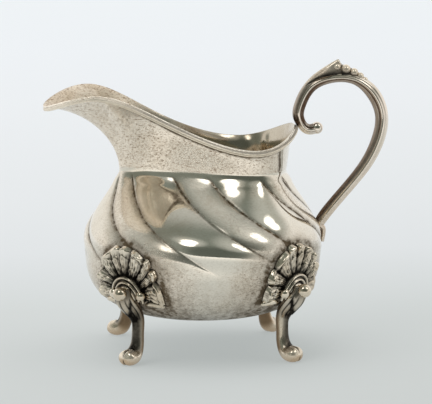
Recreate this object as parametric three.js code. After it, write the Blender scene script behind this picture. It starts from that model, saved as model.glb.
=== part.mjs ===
// A rococo-pattern silver milk jug: raised swirl-lobed body, reeded rim, scroll handle and shell-kneed feet.
// Millimetres, +Z up. The spout points along -X and the handle along +X. It stands on z = 0.
import * as THREE from 'three';

// Belly and waist. Heights are above the table, reaches are from the belly's upright axis.
const BELLY_RADIUS = 42.3;
const BELLY_HEIGHT = 37.5;
const BASE_HEIGHT = 12.5;
const BASE_FULLNESS = 2.8;
const WAIST_HEIGHT = 65.5;
const WAIST_HALF_LENGTH = 30;
const WAIST_HALF_WIDTH = 18;
const WAIST_EGG = 0.7;
const WAIST_BLUNT = 0.25;
const SHOULDER_FULLNESS = 1.21;
const WALL = 0.75;

// Mouth edge, from the handle round one side to the spout. Rises are above the waist.
const BACK_REACH = 33.4;
const BACK_RISE = 15.5;
const MOUTH_REACH = 17.5;
const MOUTH_HALF_WIDTH = 24.4;
const MOUTH_RISE = 8.6;
const MOUTH_ANGLE = 52;
const THROAT_REACH = 15;
const THROAT_HALF_WIDTH = 13;
const THROAT_RISE = 18.5;
const THROAT_ANGLE = 118;
const LIP_REACH = 40.5;
const LIP_HALF_WIDTH = 22;
const LIP_RISE = 28;
const LIP_ANGLE = 150;
const SPOUT_REACH = 57;
const SPOUT_TIP_RISE = 22.6;
const RIM_FLARE = 0.6;
const FLARE_SOFTNESS = 2;
const NECK_UPRIGHT = 0.3;
const NECK_LEAN = 0.35;

// Wide lobes and narrow ribs chased into the shoulder in a swirl.
const LOBES = 6;
const LOBE_SHARE = 0.6;
const LOBE_RISE = 1.2;
const RIB_RISE = 0.8;
const CHASING_ROUND = 0.7;
const LOBE_START = 30;
const SWIRL = 46;
const SWIRL_BEND = 1.3;
const SWIRL_MOST = 1.5;
const SWIRL_FALL = 25.5;
const CHASING_TOP_FADE = 8;
const CHASING_LOW_HEIGHT = 33;
const CHASING_LOW_FADE = 9;

// Solder seam left between two pieces.
const SEAT = 0.3;

// Reeded wire along the rim.
const WIRE_HEIGHT = 2;
const WIRE_PROUD = 1.1;
const WIRE_EDGE_PROUD = 0.75;
const REED_GROOVE = 0.35;

// Scroll handle. The loop stands above the back of the rim, and the curl and ball hang behind it.
const LOOP_HALF_LENGTH = 15.1;
const LOOP_HALF_HEIGHT = 13.8;
const LOOP_RISE = 3;
const LOOP_SETBACK = 13.3;
const LIMB_HALF = 2.15;
const CROWN_HALF = 1.8;
const GRIP_HALF = 2.4;
const SLOPE_HALF = 1.95;
const TAIL_START_HALF = 1.5;
const TAIL_HALF = 0.9;
const TAIL_TOP = 46;
const TAIL_END = 38.3;
const SLOPE_BULGE = 3.4;
const CURL_HALF = 1.7;
const CURL_CLEARANCE = 0.6;
const CURL_DROP = 2.3;
const BALL_RADIUS = 2;
const BALL_SETBACK = 5.6;
const BALL_DROP = 1.4;
const BALL_NECK_SHARE = 0.8;
const BAR_WIDENING = 1.1;

// Knots of the handle: shares along and down the curl, angles round the loop, shares of the slope and tail.
const CURL_KNOTS = [[0.64, 0.85], [0.42, 1], [0.2, 0.75], [0, 0]];
const LIMB_ANGLES = [178, 158];
const CROWN_START_ANGLE = 130;
const CROWN_START_SWELL = 1.04;
const CROWN_ANGLES = [100, 70];
const GRIP_START_ANGLE = 40;
const GRIP_START_SWELL = 0.98;
const GRIP_ANGLE = 5;
const LOOP_END_ANGLE = -30;
const LOOP_END_SWELL = 1.1;
const SLOPE_PLACES = [0.33, 0.67];
const TAIL_PLACES = [0.35, 0.7];

// Leaf and beads on the crown of the handle. The places are counted along the handle's knots.
const LEAF_FROM = 5.9;
const LEAF_TIP = 7.25;
const LEAF_TO = 8.6;
const LEAF_TIP_RISE = 4.1;
const LEAF_SWEEP = 2.6;
const LEAF_HALF_WIDTH = 2.6;
const LEAF_EDGE = 0.5;
const LEAF_ROOT_WIDTH = 0.45;
const LEAF_WIDEST = 0.45;
const LEAF_END_WIDTH = 0.3;
const LEAF_WRAP = 0.8;
const BEAD_COUNT = 3;
const BEAD_RISE = 1.7;
const BEAD_SHRINK = 0.6;
const BEAD_RUN = 0.94;
const BEAD_NECK_RISE = 0.25;
const BEAD_NECK_WIDTH = 0.55;
const BEAD_SWELL_WIDTH = 0.35;

// Scroll legs at the four corners. Each stands proud of the belly's widest level or inset from it.
const LEG_ANGLES = { back_left: 135, front_left: 225, front_right: 315, back_right: 45 };
const KNEE_HEIGHT = 25.5;
const KNEE_BALL_RADIUS = 2.3;
const KNEE_BALL_RISE = 1.1;
const KNEE_PROUD = 3.6;
const CALF_INSET = 2.5;
const CALF_HEIGHT = 21;
const CALF_HALF = 2.6;
const CALF_HALF_WIDTH = 3.1;
const SHIN_INSET = 6;
const SHIN_HEIGHT = 16.6;
const SHIN_HALF = 2.4;
const SHIN_HALF_WIDTH = 2.5;
const ANKLE_INSET = 5.9;
const ANKLE_HEIGHT = 10.5;
const ANKLE_HALF = 2.25;
const HEEL_HEIGHT = 4.4;
const FOOT_INSET = 2.3;
const FOOT_HALF_WIDTH = 3.6;
const FOOT_HALF_HEIGHT = 2.9;
const FOOT_CENTRE = 2.2;
const TOE_LENGTH = 4;
const KEEL_RISE = 0.5;
const CLEFT_DEPTH = 0.6;

// Shares that place the leg's knots between those levels.
const KNEE_BALL_ANGLES = [75, 40, 0, -40];
const CALF_TOP_REACH = 0.6;
const CALF_TOP_DROP = 0.6;
const SHIN_END_REACH = 0.7;
const SHIN_END_DROP = 0.5;
const SHIN_END_TAPER = 0.6;
const HEEL_TOP_DROP = 0.55;
const HEEL_REACH = 0.35;
const HEEL_HALF = 0.9;
const HEEL_WIDTH = 0.8;
const TOE_TAPER = [[0.55, 1, 1], [0.9, 0.7, 1], [1, 0.25, 0]];

// Shell mounts round the knees: a ribbed collar, then a fan of leaves with rolled tips.
const SHELL_HUB_RADIUS = 4.2;
const COLLAR_RADIUS = 6.9;
const COLLAR_LIFT = 2.4;
const COLLAR_GROOVE = 0.9;
const SHELL_RADIUS = 14.2;
const SHELL_CROWN = 4;
const SHELL_CROWN_BEND = 1.5;
const SHELL_LEAVES = 11;
const SHELL_SPREAD = 106;
const SHELL_SCALLOP = 1.2;
const SHELL_EDGE = 0.8;
const LEAF_RELIEF = 1.6;
const LEAF_VALLEY = 0.2;
const LEAF_ROLL_PLACE = 0.85;
const LEAF_MIDDLE_PLACE = 0.4;
const LEAF_MIDDLE_RELIEF = 0.8;

// How finely the curves are cut into facets.
const LOBE_COLUMNS = 6;
const RIB_COLUMNS = 4;
const BOWL_RINGS = 7;
const SHOULDER_RINGS = 10;
const NECK_RINGS = 6;
const BAR_SIDES = 10;
const BAR_RINGS_PER_KNOT = 3;
const BALL_RINGS = 5;
const LEG_SIDES = 12;
const LEG_RINGS_PER_KNOT = 2;
const SHELL_COLUMNS_PER_LEAF = 4;
const LEAF_STEPS = 12;
const LEAF_ACROSS = [-1, -0.5, 0, 0.5, 1];
const BEAD_STEPS = 4;
const SPLINE_PASSES = 40;
const SMALL_STEP = 1e-3;

const { PI, abs, cos, sin, sqrt, hypot, floor, min, max } = Math;
const radians = THREE.MathUtils.degToRad;
const blend = THREE.MathUtils.lerp;
const ease = THREE.MathUtils.smoothstep;
const vector = (x, y, z) => new THREE.Vector3(x, y, z);

// A smooth curve through knots: a cubic B-spline whose control points are moved until it meets them.
function splineThrough(knots, closed = false) {
  const count = knots.length;
  const axes = knots[0].map((_, axis) => axis);
  let control = knots.map((knot) => [...knot]);
  const controlAt = (index, axis) => {
    if (closed) return control[(index + count) % count][axis];
    if (index < 0) return 2 * control[0][axis] - control[1][axis];
    if (index >= count) return 2 * control[count - 1][axis] - control[count - 2][axis];
    return control[index][axis];
  };
  for (let pass = 0; pass < SPLINE_PASSES; pass += 1) {
    control = knots.map((knot, i) => axes.map((axis) => {
      const here = controlAt(i, axis);
      const met = (controlAt(i - 1, axis) + 4 * here + controlAt(i + 1, axis)) / 6;
      return here + knot[axis] - met;
    }));
  }
  return (place) => {
    const i = closed ? floor(place) : min(max(floor(place), 0), count - 2);
    const f = place - i;
    const weights = [
      (1 - f) ** 3 / 6,
      (3 * f ** 3 - 6 * f ** 2 + 4) / 6,
      (-3 * f ** 3 + 3 * f ** 2 + 3 * f + 1) / 6,
      f ** 3 / 6,
    ];
    return axes.map((axis) => weights.reduce((sum, w, k) => sum + w * controlAt(i - 1 + k, axis), 0));
  };
}

// A closed solid through rings of equal length: open runs get flat ends, looped runs close on themselves.
function loft(rings, looped = false) {
  const sides = rings[0].length;
  const points = rings.flat();
  const faces = [];
  const spans = looped ? rings.length : rings.length - 1;
  for (let i = 0; i < spans; i += 1) {
    const next = (i + 1) % rings.length;
    for (let j = 0; j < sides; j += 1) {
      const k = (j + 1) % sides;
      faces.push(i * sides + j, i * sides + k, next * sides + k);
      faces.push(i * sides + j, next * sides + k, next * sides + j);
    }
  }
  if (!looped) {
    for (const [ring, first] of [[rings[0], 0], [rings.at(-1), (rings.length - 1) * sides]]) {
      const middle = ring.reduce((sum, p) => sum.add(p), vector(0, 0, 0)).divideScalar(sides);
      points.push(middle);
      for (let j = 0; j < sides; j += 1) {
        const edge = [first + j, first + ((j + 1) % sides)];
        faces.push(...(first === 0 ? edge.reverse() : edge), points.length - 1);
      }
    }
  }
  let volume = 0;
  for (let i = 0; i < faces.length; i += 3) {
    const [a, b, c] = [points[faces[i]], points[faces[i + 1]], points[faces[i + 2]]];
    volume += a.dot(b.clone().cross(c));
  }
  const geometry = new THREE.BufferGeometry().setFromPoints(points);
  geometry.setIndex(volume > 0 ? faces : faces.reverse());
  geometry.computeVertexNormals();
  return geometry;
}

// Bowl radius below the widest level, a superellipse; above it the share of the belly left in the shoulder.
function bellyShape(height) {
  if (height <= BELLY_HEIGHT) {
    const depth = min((BELLY_HEIGHT - height) / (BELLY_HEIGHT - BASE_HEIGHT), 1);
    return BELLY_RADIUS * (1 - depth ** BASE_FULLNESS) ** (1 / BASE_FULLNESS);
  }
  const share = shoulderShare(height);
  return WAIST_HALF_LENGTH + (BELLY_RADIUS - WAIST_HALF_LENGTH) * share;
}

function shoulderShare(height) {
  const climb = min((height - BELLY_HEIGHT) / (WAIST_HEIGHT - BELLY_HEIGHT), 1);
  return (1 + cos(PI * climb ** SHOULDER_FULLNESS)) / 2;
}

// The waist is egg-shaped in plan, narrow towards the spout and blunt at both ends.
function waistPoint(angle) {
  const halfWidth = WAIST_HALF_WIDTH * (1 + WAIST_EGG * cos(angle) + WAIST_BLUNT * cos(angle) ** 2);
  return vector(WAIST_HALF_LENGTH * cos(angle), halfWidth * sin(angle), WAIST_HEIGHT);
}

const RIM_SIDE = [
  [MOUTH_REACH, MOUTH_HALF_WIDTH, WAIST_HEIGHT + MOUTH_RISE, MOUTH_ANGLE],
  [-THROAT_REACH, THROAT_HALF_WIDTH, WAIST_HEIGHT + THROAT_RISE, THROAT_ANGLE],
  [-LIP_REACH, LIP_HALF_WIDTH, WAIST_HEIGHT + LIP_RISE, LIP_ANGLE],
];
const RIM_STATIONS = [
  [BACK_REACH, 0, WAIST_HEIGHT + BACK_RISE, 0],
  ...RIM_SIDE,
  [-SPOUT_REACH, 0, WAIST_HEIGHT + SPOUT_TIP_RISE, 180],
  ...RIM_SIDE.map(([x, y, z, angle]) => [x, -y, z, 360 - angle]).reverse(),
];
const STATION_TURN = 360 / RIM_STATIONS.length;
const rimSpline = splineThrough(
  RIM_STATIONS.map(([x, y, z, angle], i) => [x, y, z, angle - i * STATION_TURN]),
  true,
);
const rimAngle = (station) => rimSpline(station)[3] + station * STATION_TURN;

// Finds the rim station whose wall rises from a given angle of the waist.
function stationAt(degrees) {
  let low = -1;
  let high = RIM_STATIONS.length + 1;
  while (high - low > SMALL_STEP * SMALL_STEP) {
    const middle = (low + high) / 2;
    if (rimAngle(middle) < degrees) low = middle;
    else high = middle;
  }
  return low;
}

const rimPoint = (station) => vector(...rimSpline(station));

function rimOutward(station) {
  const along = rimPoint(station + SMALL_STEP).sub(rimPoint(station - SMALL_STEP));
  return vector(along.y, -along.x, 0).normalize();
}

// How deep the chasing is at a height: full on the shoulder, gone at the waist and on the lower bowl.
function chasingFade(height) {
  const top = 1 - ease(height, WAIST_HEIGHT - CHASING_TOP_FADE, WAIST_HEIGHT);
  return top * ease(height, CHASING_LOW_HEIGHT, CHASING_LOW_HEIGHT + CHASING_LOW_FADE);
}

// Relief across one lobe and the rib beside it, with a sharp crease between them.
function chasing(degrees) {
  const period = 360 / LOBES;
  const place = (((degrees - LOBE_START) % period) + period) % period / period;
  if (place < LOBE_SHARE) return LOBE_RISE * abs(sin(PI * place / LOBE_SHARE)) ** CHASING_ROUND;
  return RIB_RISE * abs(sin(PI * (place - LOBE_SHARE) / (1 - LOBE_SHARE))) ** CHASING_ROUND;
}

function swirlAt(height) {
  const fall = max((WAIST_HEIGHT - height) / SWIRL_FALL, 0);
  return radians(SWIRL) * min(fall, SWIRL_MOST) ** SWIRL_BEND;
}

function bodyPoint(degrees, height) {
  const angle = radians(degrees) + swirlAt(height);
  const spoke = vector(cos(angle), sin(angle), 0);
  const relief = chasing(degrees) * chasingFade(height);
  if (height <= BELLY_HEIGHT) return spoke.multiplyScalar(bellyShape(height) + relief).setZ(height);
  const belly = spoke.clone().multiplyScalar(BELLY_RADIUS);
  const wall = waistPoint(angle).lerp(belly, shoulderShare(height));
  return wall.addScaledVector(spoke, relief).setZ(height);
}

// The neck leans out from the waist and rolls out to the rim. At the spout it starts upright and rolls most.
function neckCurve(degrees) {
  const station = stationAt(degrees);
  const waist = waistPoint(radians(degrees));
  const rim = rimPoint(station);
  const outward = rimOutward(station);
  const rise = rim.z - waist.z;
  const reach = rim.clone().sub(waist).dot(outward);
  const flare = RIM_FLARE + (reach + hypot(reach, FLARE_SOFTNESS)) / 4;
  const spoutward = ((1 - cos(radians(degrees))) / 2) ** 2;
  const lean = reach * NECK_LEAN * (1 - spoutward);
  const lower = waist.clone().addScaledVector(outward, lean).setZ(waist.z + rise / 2);
  const upper = rim.clone().addScaledVector(outward, -flare);
  upper.z -= rise * NECK_UPRIGHT * (1 - spoutward);
  return new THREE.CubicBezierCurve3(waist, lower, upper, rim);
}

const COLUMN_ANGLES = [];
for (let lobe = 0; lobe < LOBES; lobe += 1) {
  const period = 360 / LOBES;
  const start = LOBE_START + lobe * period;
  for (let i = 0; i < LOBE_COLUMNS; i += 1) {
    COLUMN_ANGLES.push(start + period * LOBE_SHARE * i / LOBE_COLUMNS);
  }
  for (let i = 0; i < RIB_COLUMNS; i += 1) {
    COLUMN_ANGLES.push(start + period * (LOBE_SHARE + (1 - LOBE_SHARE) * i / RIB_COLUMNS));
  }
}
const NECK_CURVES = COLUMN_ANGLES.map(neckCurve);

// The body as one raised sheet: outer skin up to the rim, inner skin down again.
function bodyShell() {
  const outer = [];
  for (let i = 1; i <= BOWL_RINGS; i += 1) {
    const climb = sin(PI / 2 * i / (BOWL_RINGS + 1));
    const depth = (1 - climb ** BASE_FULLNESS) ** (1 / BASE_FULLNESS);
    const height = BELLY_HEIGHT - (BELLY_HEIGHT - BASE_HEIGHT) * depth;
    outer.push(COLUMN_ANGLES.map((degrees) => bodyPoint(degrees, height)));
  }
  for (let i = 0; i <= SHOULDER_RINGS; i += 1) {
    const height = blend(BELLY_HEIGHT, WAIST_HEIGHT, i / SHOULDER_RINGS);
    outer.push(COLUMN_ANGLES.map((degrees) => bodyPoint(degrees, height)));
  }
  for (let i = 1; i <= NECK_RINGS; i += 1) {
    outer.push(NECK_CURVES.map((curve) => curve.getPoint(i / NECK_RINGS)));
  }
  const skin = loft(outer);
  const normals = skin.getAttribute('normal');
  const sides = COLUMN_ANGLES.length;
  const inner = outer.map((ring, i) => ring.map((point, j) => {
    const normal = new THREE.Vector3().fromBufferAttribute(normals, i * sides + j);
    if (i === outer.length - 1) normal.crossVectors(rimAlong(j), rimClimb(j)).normalize();
    return point.clone().addScaledVector(normal, -WALL);
  }));
  return loft([...outer, ...inner.reverse()]);
}

// Directions at the rim above a column: along the edge, and up the neck.
function rimAlong(column) {
  const count = COLUMN_ANGLES.length;
  const ahead = NECK_CURVES[(column + 1) % count].getPoint(1);
  return ahead.sub(NECK_CURVES[(column + count - 1) % count].getPoint(1)).normalize();
}

const rimClimb = (column) => NECK_CURVES[column].getTangent(1);

// Two half-round reeds side by side, laid on the outside of the neck just under its edge.
const WIRE_SECTION = [
  [0, 0],
  [WIRE_EDGE_PROUD, 0],
  [WIRE_PROUD, WIRE_HEIGHT * 0.25],
  [WIRE_PROUD - REED_GROOVE, WIRE_HEIGHT * 0.5],
  [WIRE_PROUD, WIRE_HEIGHT * 0.75],
  [WIRE_EDGE_PROUD, WIRE_HEIGHT],
  [0, WIRE_HEIGHT],
];

function wireRing(column) {
  const curve = NECK_CURVES[column];
  const length = curve.getLength();
  const outward = rimAlong(column).cross(rimClimb(column)).normalize();
  return WIRE_SECTION.map(([proud, down]) => {
    const onNeck = curve.getPointAt(1 - down / length);
    return onNeck.addScaledVector(outward, SEAT + proud);
  });
}

const rimWire = () => loft(COLUMN_ANGLES.map((_, column) => wireRing(column)), true);

// Highest metal of the belly at a height, lobes included, from the axis.
const bellyCrest = (height) => bellyShape(height) + LOBE_RISE * chasingFade(height);

// Belly metal that the handle's tail lies on round a height, for a bar of a given half thickness.
function tailSeat(height, half) {
  const spread = THREE.MathUtils.radToDeg((half * BAR_WIDENING + SEAT) / BELLY_RADIUS);
  const reaches = [-half, 0, half].flatMap((rise) => {
    const level = height + rise;
    const unswirled = -THREE.MathUtils.radToDeg(swirlAt(level));
    return [-spread, 0, spread].map((turn) => bodyPoint(unswirled + turn, level).x);
  });
  return max(...reaches);
}

// Handle knots in its own upright plane: reach, height, half thickness.
const WIRE_BACK = max(...COLUMN_ANGLES.flatMap((_, column) => wireRing(column).map((point) => point.x)));
const RIM_BACK_HEIGHT = WAIST_HEIGHT + BACK_RISE;
const CURL_REACH = WIRE_BACK + CURL_CLEARANCE + CURL_HALF;
const onLoop = (degrees, half, swell = 1) => [
  CURL_REACH + LOOP_SETBACK + LOOP_HALF_LENGTH * swell * cos(radians(degrees)),
  RIM_BACK_HEIGHT + LOOP_RISE + LOOP_HALF_HEIGHT * swell * sin(radians(degrees)),
  half,
];
const onCurl = (along, drop) => [
  CURL_REACH + BALL_SETBACK * along,
  RIM_BACK_HEIGHT - CURL_DROP * drop,
  blend(CURL_HALF, BALL_RADIUS * BALL_NECK_SHARE, along),
];
const onTail = (height, half) => [tailSeat(height, half) + SEAT + half, height, half];
const BALL_CENTRE = [CURL_REACH + BALL_SETBACK, RIM_BACK_HEIGHT - BALL_DROP];
const LOOP_END = onLoop(LOOP_END_ANGLE, GRIP_HALF, LOOP_END_SWELL);
const TAIL_START = onTail(TAIL_TOP, TAIL_START_HALF);
const onSlope = (share) => [
  blend(LOOP_END[0], TAIL_START[0], share) + SLOPE_BULGE * (1 - share),
  blend(LOOP_END[1], TAIL_START[1], share),
  blend(GRIP_HALF, SLOPE_HALF, share),
];
const HANDLE_KNOTS = [
  ...CURL_KNOTS.map(([along, drop]) => onCurl(along, drop)),
  ...LIMB_ANGLES.map((degrees) => onLoop(degrees, LIMB_HALF)),
  onLoop(CROWN_START_ANGLE, LIMB_HALF, CROWN_START_SWELL),
  ...CROWN_ANGLES.map((degrees) => onLoop(degrees, CROWN_HALF)),
  onLoop(GRIP_START_ANGLE, GRIP_HALF, GRIP_START_SWELL),
  onLoop(GRIP_ANGLE, GRIP_HALF),
  LOOP_END,
  ...SLOPE_PLACES.map((share) => onSlope(share)),
  TAIL_START,
  ...TAIL_PLACES.map((share) => {
    const half = blend(TAIL_START_HALF, TAIL_HALF, share);
    return onTail(blend(TAIL_TOP, TAIL_END, share), half);
  }),
  onTail(TAIL_END, TAIL_HALF),
];
const handleSpline = splineThrough(HANDLE_KNOTS);

// Place, outward direction and half thickness of the handle's bar.
function barAt(place) {
  const [x, z, half] = handleSpline(place);
  const [xBefore, zBefore] = handleSpline(place - SMALL_STEP);
  const [xAfter, zAfter] = handleSpline(place + SMALL_STEP);
  const outward = vector(zBefore - zAfter, 0, xAfter - xBefore).normalize();
  return { centre: vector(x, 0, z), outward, half };
}

function barRing({ centre, outward, half }) {
  const ring = [];
  for (let j = 0; j < BAR_SIDES; j += 1) {
    const turn = 2 * PI * j / BAR_SIDES;
    const point = centre.clone().addScaledVector(outward, half * cos(turn));
    point.y = half * BAR_WIDENING * sin(turn);
    ring.push(point);
  }
  return ring;
}

function handleScroll() {
  const rings = [];
  const start = barAt(0);
  const ball = vector(BALL_CENTRE[0], 0, BALL_CENTRE[1]);
  const away = ball.clone().sub(start.centre).normalize();
  const ballTurn = PI - Math.asin(BALL_NECK_SHARE);
  for (let i = 1; i <= BALL_RINGS; i += 1) {
    const turn = ballTurn * i / BALL_RINGS;
    const centre = ball.clone().addScaledVector(away, BALL_RADIUS * cos(turn));
    rings.push(barRing({ centre, outward: start.outward, half: BALL_RADIUS * sin(turn) }));
  }
  const steps = (HANDLE_KNOTS.length - 1) * BAR_RINGS_PER_KNOT;
  for (let i = 0; i <= steps; i += 1) rings.push(barRing(barAt(i / BAR_RINGS_PER_KNOT)));
  return loft(rings);
}

// Leaf along the crown, then shrinking beads. Each station is a place on the handle, a rise and a half width.
function thumbLeaf() {
  const stations = [];
  for (let i = 0; i <= LEAF_STEPS; i += 1) {
    const share = i / LEAF_STEPS;
    stations.push([
      blend(LEAF_FROM, LEAF_TIP, share),
      LEAF_EDGE + (LEAF_TIP_RISE - LEAF_EDGE) * share ** LEAF_SWEEP,
      LEAF_HALF_WIDTH * blend(LEAF_ROOT_WIDTH, 1, cos(PI / 2 * (share - LEAF_WIDEST) / (1 - LEAF_WIDEST))),
    ]);
  }
  const beadRun = (LEAF_TO - LEAF_TIP) * BEAD_RUN;
  const firstBead = LEAF_TO - beadRun;
  for (let bead = 0; bead < BEAD_COUNT; bead += 1) {
    for (let i = 0; i < BEAD_STEPS; i += 1) {
      const share = (bead + i / BEAD_STEPS) / BEAD_COUNT;
      const swell = sin(PI * i / BEAD_STEPS);
      stations.push([
        firstBead + beadRun * share,
        LEAF_EDGE + BEAD_RISE * (1 - BEAD_SHRINK * share) * (BEAD_NECK_RISE + swell),
        LEAF_HALF_WIDTH * (1 - BEAD_SHRINK * share) * (BEAD_NECK_WIDTH + BEAD_SWELL_WIDTH * swell),
      ]);
    }
  }
  stations.push([LEAF_TO, LEAF_EDGE, LEAF_HALF_WIDTH * LEAF_END_WIDTH]);
  const rings = stations.map(([place, rise, halfWidth]) => {
    const bar = barAt(place);
    const lateral = bar.half * BAR_WIDENING;
    const wrap = halfWidth * LEAF_WRAP / (lateral + SEAT);
    const seat = (side) => (bar.half + SEAT) * sqrt(1 - (side * wrap) ** 2);
    const at = (side, lift) => {
      const point = bar.centre.clone().addScaledVector(bar.outward, seat(side) + lift);
      point.y = side * halfWidth;
      return point;
    };
    const under = LEAF_ACROSS.map((side) => at(side, 0));
    const over = LEAF_ACROSS.map((side) => at(side, LEAF_EDGE + (rise - LEAF_EDGE) * (1 - side * side)));
    return [...under, ...over.reverse()];
  });
  return loft(rings);
}

// A point over the belly near a leg, in the leg's own frame: X out from the axis, Y sideways, Z up.
function overBelly(sideways, height, lift) {
  const radius = bellyCrest(height);
  const slope = (bellyCrest(height + SMALL_STEP) - bellyCrest(height - SMALL_STEP)) / (2 * SMALL_STEP);
  const turn = sideways / radius;
  const tilt = hypot(1, slope);
  const reach = radius + lift / tilt;
  return vector(reach * cos(turn), reach * sin(turn), height - lift * slope / tilt);
}

const KNEE_REACH = BELLY_RADIUS + KNEE_PROUD;
const CALF_REACH = BELLY_RADIUS - CALF_INSET;
const SHIN_REACH = BELLY_RADIUS - SHIN_INSET;
const ANKLE_REACH = BELLY_RADIUS - ANKLE_INSET;
const FOOT_REACH = BELLY_RADIUS - FOOT_INSET;

// A point of a leg, pushed out where it would enter the belly, so that the leg's back lies along the belly.
function clearOfBelly(point) {
  if (point.z <= BASE_HEIGHT) return point;
  const least = bellyCrest(point.z) + SEAT;
  if (hypot(point.x, point.y) < least) point.x = sqrt(least ** 2 - point.y ** 2);
  return point;
}

// The leg hangs from a ball at the knee, lies along the belly, thins at the ankle and rolls out to a toe.
function scrollLeg() {
  const ballCentre = KNEE_HEIGHT + KNEE_BALL_RISE;
  const onBall = (degrees) => [
    KNEE_REACH,
    ballCentre + KNEE_BALL_RADIUS * sin(radians(degrees)),
    KNEE_BALL_RADIUS * cos(radians(degrees)),
    KNEE_BALL_RADIUS * cos(radians(degrees)),
    0,
  ];
  const stations = [
    ...KNEE_BALL_ANGLES.map((degrees) => onBall(degrees)),
    [
      blend(KNEE_REACH, CALF_REACH, CALF_TOP_REACH),
      blend(ballCentre, CALF_HEIGHT, CALF_TOP_DROP),
      CALF_HALF,
      CALF_HALF_WIDTH,
      0,
    ],
    [CALF_REACH, CALF_HEIGHT, CALF_HALF, CALF_HALF_WIDTH, KEEL_RISE],
    [SHIN_REACH, SHIN_HEIGHT, SHIN_HALF, SHIN_HALF_WIDTH, KEEL_RISE],
    [
      blend(SHIN_REACH, ANKLE_REACH, SHIN_END_REACH),
      blend(SHIN_HEIGHT, ANKLE_HEIGHT, SHIN_END_DROP),
      blend(SHIN_HALF, ANKLE_HALF, SHIN_END_TAPER),
      blend(SHIN_HALF_WIDTH, ANKLE_HALF, SHIN_END_TAPER),
      KEEL_RISE,
    ],
    [ANKLE_REACH, ANKLE_HEIGHT, ANKLE_HALF, ANKLE_HALF, 0],
    [ANKLE_REACH, blend(ANKLE_HEIGHT, HEEL_HEIGHT, HEEL_TOP_DROP), ANKLE_HALF, ANKLE_HALF, 0],
    [
      blend(ANKLE_REACH, FOOT_REACH, HEEL_REACH),
      HEEL_HEIGHT,
      FOOT_HALF_HEIGHT * HEEL_HALF,
      FOOT_HALF_WIDTH * HEEL_WIDTH,
      0,
    ],
    [FOOT_REACH, FOOT_CENTRE, FOOT_HALF_HEIGHT, FOOT_HALF_WIDTH, 0],
    ...TOE_TAPER.map(([share, taper, cleft]) => [
      FOOT_REACH + TOE_LENGTH * share,
      FOOT_CENTRE,
      FOOT_HALF_HEIGHT * taper,
      FOOT_HALF_WIDTH * taper,
      -CLEFT_DEPTH * cleft,
    ]),
  ];
  const spline = splineThrough(stations);
  const rings = [];
  for (let i = 0; i <= (stations.length - 1) * LEG_RINGS_PER_KNOT; i += 1) {
    const place = i / LEG_RINGS_PER_KNOT;
    const [x, z, half, halfWidth, ridge] = spline(place);
    const [xBefore, zBefore] = spline(place - SMALL_STEP);
    const [xAfter, zAfter] = spline(place + SMALL_STEP);
    const outward = vector(zBefore - zAfter, 0, xAfter - xBefore).normalize();
    const ring = [];
    for (let j = 0; j < LEG_SIDES; j += 1) {
      const turn = 2 * PI * j / LEG_SIDES;
      const keel = j === 0 ? ridge : 0;
      const point = vector(x, 0, z).addScaledVector(outward, half * cos(turn) + keel);
      point.y = halfWidth * sin(turn);
      point.z = max(point.z, 0);
      ring.push(clearOfBelly(point));
    }
    rings.push(ring);
  }
  return loft(rings);
}

// The shell is wrapped on the belly round the knee and open below, where the leg comes down.
function shellMount() {
  const columns = SHELL_LEAVES * SHELL_COLUMNS_PER_LEAF;
  const collarMiddle = (SHELL_HUB_RADIUS + COLLAR_RADIUS) / 2;
  const rings = [];
  for (let i = 0; i <= columns; i += 1) {
    const share = i / columns;
    const turn = radians(blend(-SHELL_SPREAD, SHELL_SPREAD, share));
    const crest = abs(sin(PI * share * SHELL_LEAVES));
    const crown = SHELL_CROWN * max(cos(turn), 0) ** SHELL_CROWN_BEND;
    const edge = SHELL_RADIUS + crown - SHELL_SCALLOP * (1 - crest);
    const relief = LEAF_RELIEF * blend(LEAF_VALLEY, 1, crest);
    const at = (radius, lift) => overBelly(radius * sin(turn), KNEE_HEIGHT + radius * cos(turn), SEAT + lift);
    rings.push([
      at(SHELL_HUB_RADIUS, 0),
      at(blend(SHELL_HUB_RADIUS, edge, 1 / 3), 0),
      at(blend(SHELL_HUB_RADIUS, edge, 2 / 3), 0),
      at(edge, 0),
      at(edge, SHELL_EDGE),
      at(blend(COLLAR_RADIUS, edge, LEAF_ROLL_PLACE), SHELL_EDGE + relief),
      at(blend(COLLAR_RADIUS, edge, LEAF_MIDDLE_PLACE), SHELL_EDGE + relief * LEAF_MIDDLE_RELIEF),
      at(COLLAR_RADIUS, COLLAR_LIFT - COLLAR_GROOVE),
      at(collarMiddle, COLLAR_LIFT),
      at(SHELL_HUB_RADIUS, COLLAR_LIFT - COLLAR_GROOVE),
    ]);
  }
  return loft(rings);
}

const jug = new THREE.Group();

function addPiece(name, geometry, colour, roughness, turn = 0) {
  const material = new THREE.MeshStandardMaterial({ color: colour, roughness, metalness: 1 });
  const mesh = new THREE.Mesh(geometry, material);
  mesh.name = name;
  mesh.rotation.z = radians(turn);
  jug.add(mesh);
}

const POLISHED = 0xd6d0c2;
const CAST = 0xbdb4a2;
addPiece('body_shell', bodyShell(), POLISHED, 0.14);
addPiece('rim_wire', rimWire(), POLISHED, 0.2);
addPiece('handle_scroll', handleScroll(), CAST, 0.24);
addPiece('thumb_leaf', thumbLeaf(), CAST, 0.28);
for (const [corner, turn] of Object.entries(LEG_ANGLES)) {
  addPiece(`leg_${corner}`, scrollLeg(), CAST, 0.28, turn);
  addPiece(`shell_${corner}`, shellMount(), CAST, 0.32, turn);
}

// The origin is on the table, under the middle of the whole jug.
const outline = new THREE.Box3().setFromObject(jug, true);
jug.position.x = -(outline.min.x + outline.max.x) / 2;
jug.position.y = -(outline.min.y + outline.max.y) / 2;

export default jug;
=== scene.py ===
"""A rococo-pattern silver milk jug, dressed around its CAD frame.

Sizes are in millimetres until a mesh is made.
"""
import math

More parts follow.
